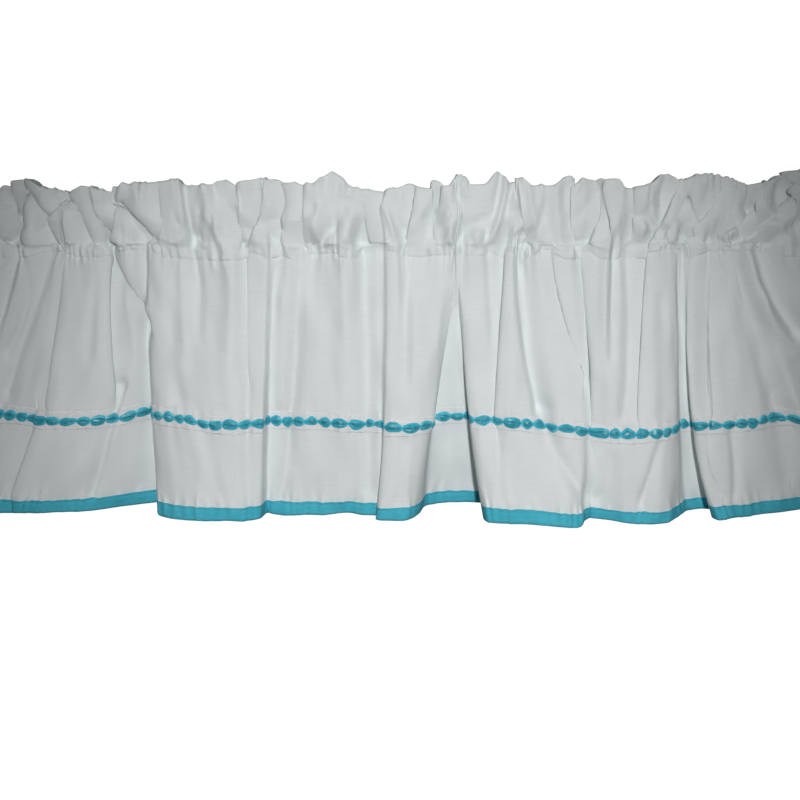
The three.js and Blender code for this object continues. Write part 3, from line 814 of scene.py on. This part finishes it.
# How far out and up the pocket's section goes, from the stitch line up its front, over its top
# and down its back.
POCKET_SECTION = (
    (0, -70), (0.25, -68), (0.9, -64), (2.8, -55), (6.3, -41), (9.2, -26), (10, -7), (9.6, -1.4),
    (8.2, -0.2), (5.5, 0), (-7, -1.5), (-12, -10), (-13, -36), (-10, -59), (-1.2, -69.4),
)
TOP_ROW = 9
FRONT_FROM = (0, 3)
BACK_FROM = (-9, 0)
BACK_LAYER = -5
TOP_RISE_REACH = 34
STITCH_HOLD_REACH = 19
STITCH_HOLD_SHARE = 0.35
POCKET_SWELL = 1.45
FLOW_REACH = 48
POCKET_CREASES = (
    # beyond the left end
    (-452, 4, -454, 35, -456, 66, -6, -6, 7, 7, 1.5),
    (-428, 2, -424, 34, -420, 66, -6, -6, 4, 6, 1),
    (-407, 6, -402, 35, -396, 64, -7, -7, 7, 7, 0),
    # left end
    (-375, 6, -373, 37, -364, 68, -3, -4, 5, 6, 2.2),
    (-360, 6, -364, 24, -367, 43, -3, -2, 3, 5, 1.2),
    (-393, 50, -379, 61, -364, 69, -3, -3, 4, 4, 1),
    (-358, 7, -340, 34, -335, 62, -2, -4, 4, 5, 1.2),
    (-322, 7, -333, 20, -337, 38, -3, -2, 4, 6, 0.8),
    (-316, 7, -306, 43, -293, 68, -4, -4, 5, 5, 2.2),
    (-299, 6, -293, 31, -279, 59, -3, -3, 4, 4, 1.6),
    (-278, 7, -279, 28, -281, 49, -2, -2, 3, 5, 1.2),
    (-275, 15, -253, 35, -235, 63, -3, -5, 5, 4, 2.4),
    # over the first front fold
    (-233, 6, -231, 26, -233, 47, -2, -2, 3, 6, 1),
    (-208, 0, -206, 32, -205, 66, -7, -7, 1.6, 9, 0),
    (-157, 6, -157, 35, -158, 66, -2.5, -2.5, 2, 5, 1.4),
    (-133, 18, -142, 39, -150, 59, -2, -2, 5, 4, 0.8),
    # over the second
    (-115, 2, -109, 17, -112, 32, -4, -4, 3, 6, 1.6),
    (-112, 32, -117, 49, -116, 68, -4, -4, 3, 6, 1.6),
    (-93, 6, -94, 29, -96, 54, -4, -3, 3, 6, 1.6),
    (-51, 4, -58, 30, -88, 64, -6, -7, 9, 5, 0),
    (-41, 15, -48, 38, -68, 62, 3, 3, 6, 6, 0),
    (-37, 22, -32, 45, -29, 68, -3, -4, 4, 6, 1.4),
    # over the third
    (-15, 2, -17, 11, -20, 22, -3, -1, 4, 4, 0.8),
    (-14, 10, -10, 34, -2, 58, 4, 3, 2.5, 3, 0),
    (14, 6, 10, 31, 4, 57, -3, -3, 5, 4, 0.8),
    (27, 10, 18, 31, 9, 50, 3, 2, 4, 4, 0),
    (29, 7, 31, 34, 36, 62, -4, -3, 3, 5, 1.6),
    (39, 6, 38, 18, 35, 30, -3, -2, 3, 5, 0.8),
    (60, 13, 55, 27, 48, 43, 4, 3, 4, 4, 0),
    (64, 4, 63, 14, 59, 26, -3, -1, 3, 5, 0.8),
    # over the fourth
    (94, 26, 73, 37, 57, 58, -3, -4.5, 6, 6, 0),
    (102, 6, 96, 31, 85, 58, 4.5, 4, 3.5, 3, 0),
    (97, 6, 91, 31, 81, 56, -4.5, -3, 4, 2, 0),
    (111, 2, 115, 30, 127, 59, -4, -3, 3, 5, 1.6),
    (124, 13, 127, 27, 132, 43, 3, 2, 3, 4, 0),
    (164, 6, 165, 31, 169, 57, -3, -2.5, 3, 5, 1.2),
    # over the fifth
    (188, 4, 191, 22, 184, 55, -4, -3.5, 4, 3, 1.6),
    (195, 8, 198, 20, 202, 34, -3, -1, 3, 5, 0.8),
    (224, 6, 225, 19, 226, 32, -2, -1.5, 3, 4, 0.8),
    (227, 26, 238, 34, 249, 43, -4, -1.5, 4, 4, 0),
    (241, 17, 244, 27, 248, 39, 3, 2, 3, 3, 0),
    (265, 6, 253, 35, 239, 61, -4, -4, 5, 4, 1.2),
    (269, 7, 258, 35, 242, 61, 4, 4, 3, 3, 0),
    (274, 11, 264, 35, 248, 60, -3, -3, 4, 4, 0.8),
    # right end
    (276, 9, 283, 25, 289, 41, -4, -2, 3, 5, 0.8),
    (308, 6, 292, 34, 275, 58, -4, -4, 5, 4, 0.8),
    (318, 15, 313, 41, 306, 59, -3, -3, 4, 4, 0.8),
    (347, 17, 331, 32, 314, 48, -3, -3, 4, 4, 0.8),
    (347, 19, 344, 33, 341, 49, -3, -2, 4, 4, 0.8),
    (366, 2, 372, 9, 380, 19, -3, -2, 4, 4, 0.8),
    (382, 7, 353, 37, 326, 61, -5, -4, 4, 6, 1.4),
    # beyond the right end
    (400, 27, 376, 46, 356, 62, -7, -6, 9, 9, 0),
    (416, 3, 408, 30, 396, 66, -5, -6, 4, 6, 1.2),
    (431, 4, 428, 34, 422, 66, -5, -5, 6, 6, 1),
    (452, 2, 450, 34, 448, 66, -5, -5, 4, 7, 1),
)
TOP_NOTCH = 2.5
TOP_NOTCH_WIDTH = 3.2
TOP_NOTCH_REACH = 8

# Small things between the pleats: puckers beside the stitch line and along the top edge, loose
# creases that slant anyhow, and little smiling ridges where the gathers are packed.
GATHER_SEED = 61
GATHERS = {"spacing": (5, 12), "rise": (0.7, 2.6), "width": (1.8, 3.8), "reach": (4, 13)}
GATHER_OFFSET = 3
GATHER_START = 12
TOP_SEED = 71
TOP_PUCKERS = {"spacing": (6, 15), "rise": (0.5, 2.2), "width": (1.8, 4.2), "reach": (6, 26)}
LOOSE_SEED = 97
LOOSE_COUNT = 170
LOOSE_ACROSS = (-460, 460)
LOOSE_DROP = (2, 52)
LOOSE_TALL = (12, 34)
LOOSE_LEAN = 0.35
LOOSE_BOW = 1.2
LOOSE_RISE = (1.4, 4.4)
LOOSE_FADING = 0.7
LOOSE_WIDTH = (2.6, 7.5)
RIDGE_SEED = 83
RIDGE_START = 6
RIDGE_SPACING = (12, 32)
RIDGE_HEIGHT = (7, 15)
RIDGE_RISE = (0.9, 2.4)
RIDGE_SPAN = (4, 11)
RIDGE_BEND = (0.01, 0.05)
RIDGE_WIDTH = 1.7
POCKET_WAVE_SEED = 9

# How far the top edge stands up or dips, at places across.
TOP_OUTLINE = (
    (-470, -1), (-450, 3), (-430, -4), (-410, 2), (-387, -3), (-357, 7), (-342, -3), (-315, -6),
    (-303, -1), (-280, -6), (-263, 0), (-242, 1), (-212, 5), (-203, -1), (-182, 0), (-169, 4),
    (-159, 0), (-134, 6), (-116, 3), (-88, 0), (-64, 11), (-53, 5), (-44, -3), (-15, -6),
    (13, 0), (24, -3), (34, 4), (45, -2), (56, 9), (68, 0), (80, 0), (95, 12),
    (106, 2), (116, 6), (125, -1), (148, -1), (160, 8), (169, 0), (176, 5), (209, 5),
    (216, -3), (237, 0), (254, 9), (271, 4), (290, 9), (308, 8), (334, 0), (350, 2),
    (366, 10), (387, 15), (410, 10), (430, 1), (450, 5), (470, 0),
)

# Shallow ripples in the back layer: the rise, length and start of each.
BACK_RIPPLES = ((1.6, 38, 0), (1.2, 23, 4))


def spaced_section():
    """The pocket's section as evenly spaced places, front first, on a smooth curve."""
    knots = np.array(POCKET_SECTION, float)
    fine = np.linspace(0, len(knots) - 1, SECTION_STEPS)
    out, up = (smooth_value(knots[:, k], fine) for k in (0, 1))
    length = np.concatenate([[0], np.cumsum(np.hypot(np.diff(out), np.diff(up)))])
    top = length[np.searchsorted(fine, TOP_ROW)]
    front = np.linspace(0, top, POCKET_ROWS_FRONT, endpoint=False)
    back = np.linspace(top, length[-1], POCKET_ROWS_BACK)
    spots = np.concatenate([front, back])
    return np.interp(spots, length, out), np.interp(spots, length, up), spots


def smoothstep(value, low, high):
    """A smooth rise from 0 at the low value to 1 at the high one."""
    t = np.clip((value - low) / (high - low), 0, 1)
    return t * t * (3 - 2 * t)


def smiling_ridges():
    """Uneven ridges: where each stands, its height, rise, span and bend."""
    draw = np.random.default_rng(RIDGE_SEED)
    rows = []
    here = RIDGE_START
    while here < cloth_width:
        spans = (RIDGE_HEIGHT, RIDGE_RISE, RIDGE_SPAN, RIDGE_BEND)
        rows.append((here, *(draw.uniform(*span) for span in spans)))
        here += draw.uniform(*RIDGE_SPACING)
    return rows


def ridge_rise(rows, along, above):
    """How far the little smiling ridges just above the stitch line stand out."""
    total = np.zeros(np.broadcast(along, above).shape)
    for here, height, rise, span, bend in rows:
        side = along - here
        away = (above - height - bend * side * side) / RIDGE_WIDTH
        total += rise * np.exp(-away * away - (side / span) ** 2)
    return total


def loose_creases():
    """Small slanting creases, left wherever the gathers are pushed together along the rod."""
    draw = np.random.default_rng(LOOSE_SEED)
    rows = []
    for _ in range(LOOSE_COUNT):
        across = draw.uniform(*LOOSE_ACROSS)
        drop = draw.uniform(*LOOSE_DROP)
        tall = draw.uniform(*LOOSE_TALL)
        lean = draw.normal(0, LOOSE_LEAN)
        bow = draw.normal(0, LOOSE_BOW)
        rise = draw.choice((-1, 1)) * draw.uniform(*LOOSE_RISE)
        left = draw.uniform(*LOOSE_WIDTH)
        right = draw.uniform(*LOOSE_WIDTH)
        rows.append((
            across, drop, across + lean * tall / 2 + bow, drop + tall / 2,
            across + lean * tall, drop + tall, rise, LOOSE_FADING * rise, left, right, 0,
        ))
    return tuple(rows)


def top_lift(across, along):
    """How far the top edge stands up: its outline, its puckers and a notch at each pleat."""
    outline = named_rows(("across", "rise"), TOP_OUTLINE)
    place = np.interp(across, outline["across"], np.arange(len(TOP_OUTLINE)))
    lift = smooth_value(outline["rise"], place)
    lift = lift + pucker_rise(top_puckers, along, np.zeros_like(along))
    for row in POCKET_CREASES:
        crease = dict(zip(CREASE_COLUMNS, row))
        if crease["dropTop"] < TOP_NOTCH_REACH and crease["riseTop"] < 0:
            away = (across - crease["acrossTop"]) / TOP_NOTCH_WIDTH
            lift = lift - TOP_NOTCH * np.exp(-(away ** 2))
    return lift


def pocket_points():
    """The pocket's grid: up its front from the stitch line, over its top and down its back."""
    outs, ups, spots = spaced_section()
    along, out = np.meshgrid(columns, outs)
    up = np.broadcast_to(ups[:, None], along.shape)
    drop = -up
    above = STITCH_DROP - drop
    seam = skirt_place(columns, np.full_like(columns, float(STITCH_DROP)))
    level = fold_place(np.interp(columns, walk_length, walk_position), float(STITCH_DROP))[0]
    across = np.broadcast_to(level, along.shape)
    near_stitch = smoothstep(drop, STITCH_DROP - STITCH_HOLD_REACH, STITCH_DROP)
    near_top = 1 - smoothstep(drop, 0, TOP_RISE_REACH)
    front = smoothstep(out, *FRONT_FROM)
    back = 1 - smoothstep(out, *BACK_FROM)
    flow = 1 - smoothstep(above, 0, FLOW_REACH)
    on_front = out > 0
    gathered = smoothstep(above, 0, GATHER_START) * on_front
    ripple = sum(
        rise * np.sin(2 * math.pi * (across + start) / length)
        for rise, length, start in BACK_RIPPLES
    )
    aside, rise = crease_push(POCKET_CREASES + loose_creases(), across, drop, POCKET_SWELL)
    aside = aside * front * (1 - near_stitch) + (seam[:, 0] - level) * near_stitch
    creased = np.maximum(out + rise, np.minimum(out, BACK_LAYER))
    free = out + (creased - out) * front + ripple * back
    held = STITCH_HOLD_SHARE * out * near_stitch
    stood = free * (1 - near_stitch) + held - seam[:, 1] * flow
    stood = stood + pucker_rise(stitch_puckers, along, above) * on_front
    stood = stood + pucker_rise(gather_puckers, along, above - GATHER_OFFSET) * gathered
    stood = stood + pucker_rise(top_puckers, along, drop) * on_front
    stood = stood + ridge_rise(ridges, along, above) * gathered
    stood = stood + soft_waves(POCKET_WAVE_SEED, along, drop) * front
    risen = up + near_top * top_lift(across, along) + near_stitch * seam_rise(across)
    points = np.stack([across + aside, -stood, risen], -1)
    points[0] = seam
    from_stitch = np.broadcast_to(spots[:, None] - STITCH_DROP, along.shape)
    flat = np.stack([along, from_stitch], -1)
    return points[::-1], flat[::-1]


gather_puckers = pucker_rows(GATHER_SEED, **GATHERS)
top_puckers = pucker_rows(TOP_SEED, **TOP_PUCKERS)
ridges = smiling_ridges()
pocket = grid_piece("rod_pocket_cloth", *pocket_points(), cotton)
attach(pocket, "root")
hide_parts("heading")

# ---- Room -----------------------------------------------------------------------------
# A white floor and backdrop that only the camera sees, one small lamp close beside the camera
# and a faint fill from all round.
LENS = 36.1
FILM_WIDTH = 36
CAMERA_PLACE = (0, -0.80, -0.07)
CAMERA_TILT = 80
LAMP_PLACE = (0.08, -1.24, 0.14)
LAMP_AIM = (-0.005, 0.0, -0.28)
LAMP_SIZE = 0.035
LAMP_CONE = 53
LAMP_POWER = 49
FILL = 0.07
STAGE_SIZE = 12
STAGE_GLOW = 1.0
STAGE_PAINT = (0.9, 0.9, 0.9, 1)
FLOOR_PLACE = (0, 0, -1.2)
BACKDROP_PLACE = (0, 3.0, 0)
WHITE = (1, 1, 1, 1)


def white_stage(name, place, tilt):
    """A glowing white plane that the camera sees and that casts no light on the cloth."""
    turn = (math.radians(tilt), 0, 0)
    bpy.ops.mesh.primitive_plane_add(size=STAGE_SIZE, location=place, rotation=turn)
    stage = bpy.context.active_object
    stage.name = name
    paint, shader = new_material(name)
    set_inputs(
        paint, shader, Base_Color=STAGE_PAINT, Emission_Color=WHITE, Emission_Strength=STAGE_GLOW
    )
    stage.data.materials.append(paint)
    stage.visible_diffuse = False
    stage.visible_glossy = False


white_stage("floor", FLOOR_PLACE, 0)
white_stage("backdrop", BACKDROP_PLACE, 90)

world = bpy.data.worlds.new("room")
bpy.context.scene.world = world
world.use_nodes = True
fill = world.node_tree.nodes["Background"]
fill.inputs["Color"].default_value = WHITE
fill.inputs["Strength"].default_value = FILL

lamp = bpy.data.lights.new("lamp", "SPOT")
lamp.shadow_soft_size = LAMP_SIZE
lamp.spot_size = math.radians(LAMP_CONE)
lamp.spot_blend = 1.0
lamp.energy = LAMP_POWER
lamp_object = bpy.data.objects.new("lamp", lamp)
lamp_object.location = LAMP_PLACE
aim = Vector(LAMP_AIM) - Vector(LAMP_PLACE)
lamp_object.rotation_euler = aim.to_track_quat("-Z", "Y").to_euler()
bpy.context.collection.objects.link(lamp_object)

lens = bpy.data.cameras.new("camera")
lens.lens = LENS
lens.sensor_width = FILM_WIDTH
camera = bpy.data.objects.new("camera", lens)
camera.location = CAMERA_PLACE
camera.rotation_euler = (math.radians(CAMERA_TILT), 0, 0)
bpy.context.collection.objects.link(camera)
bpy.context.scene.camera = camera
bpy.context.scene.view_settings.view_transform = "Standard"
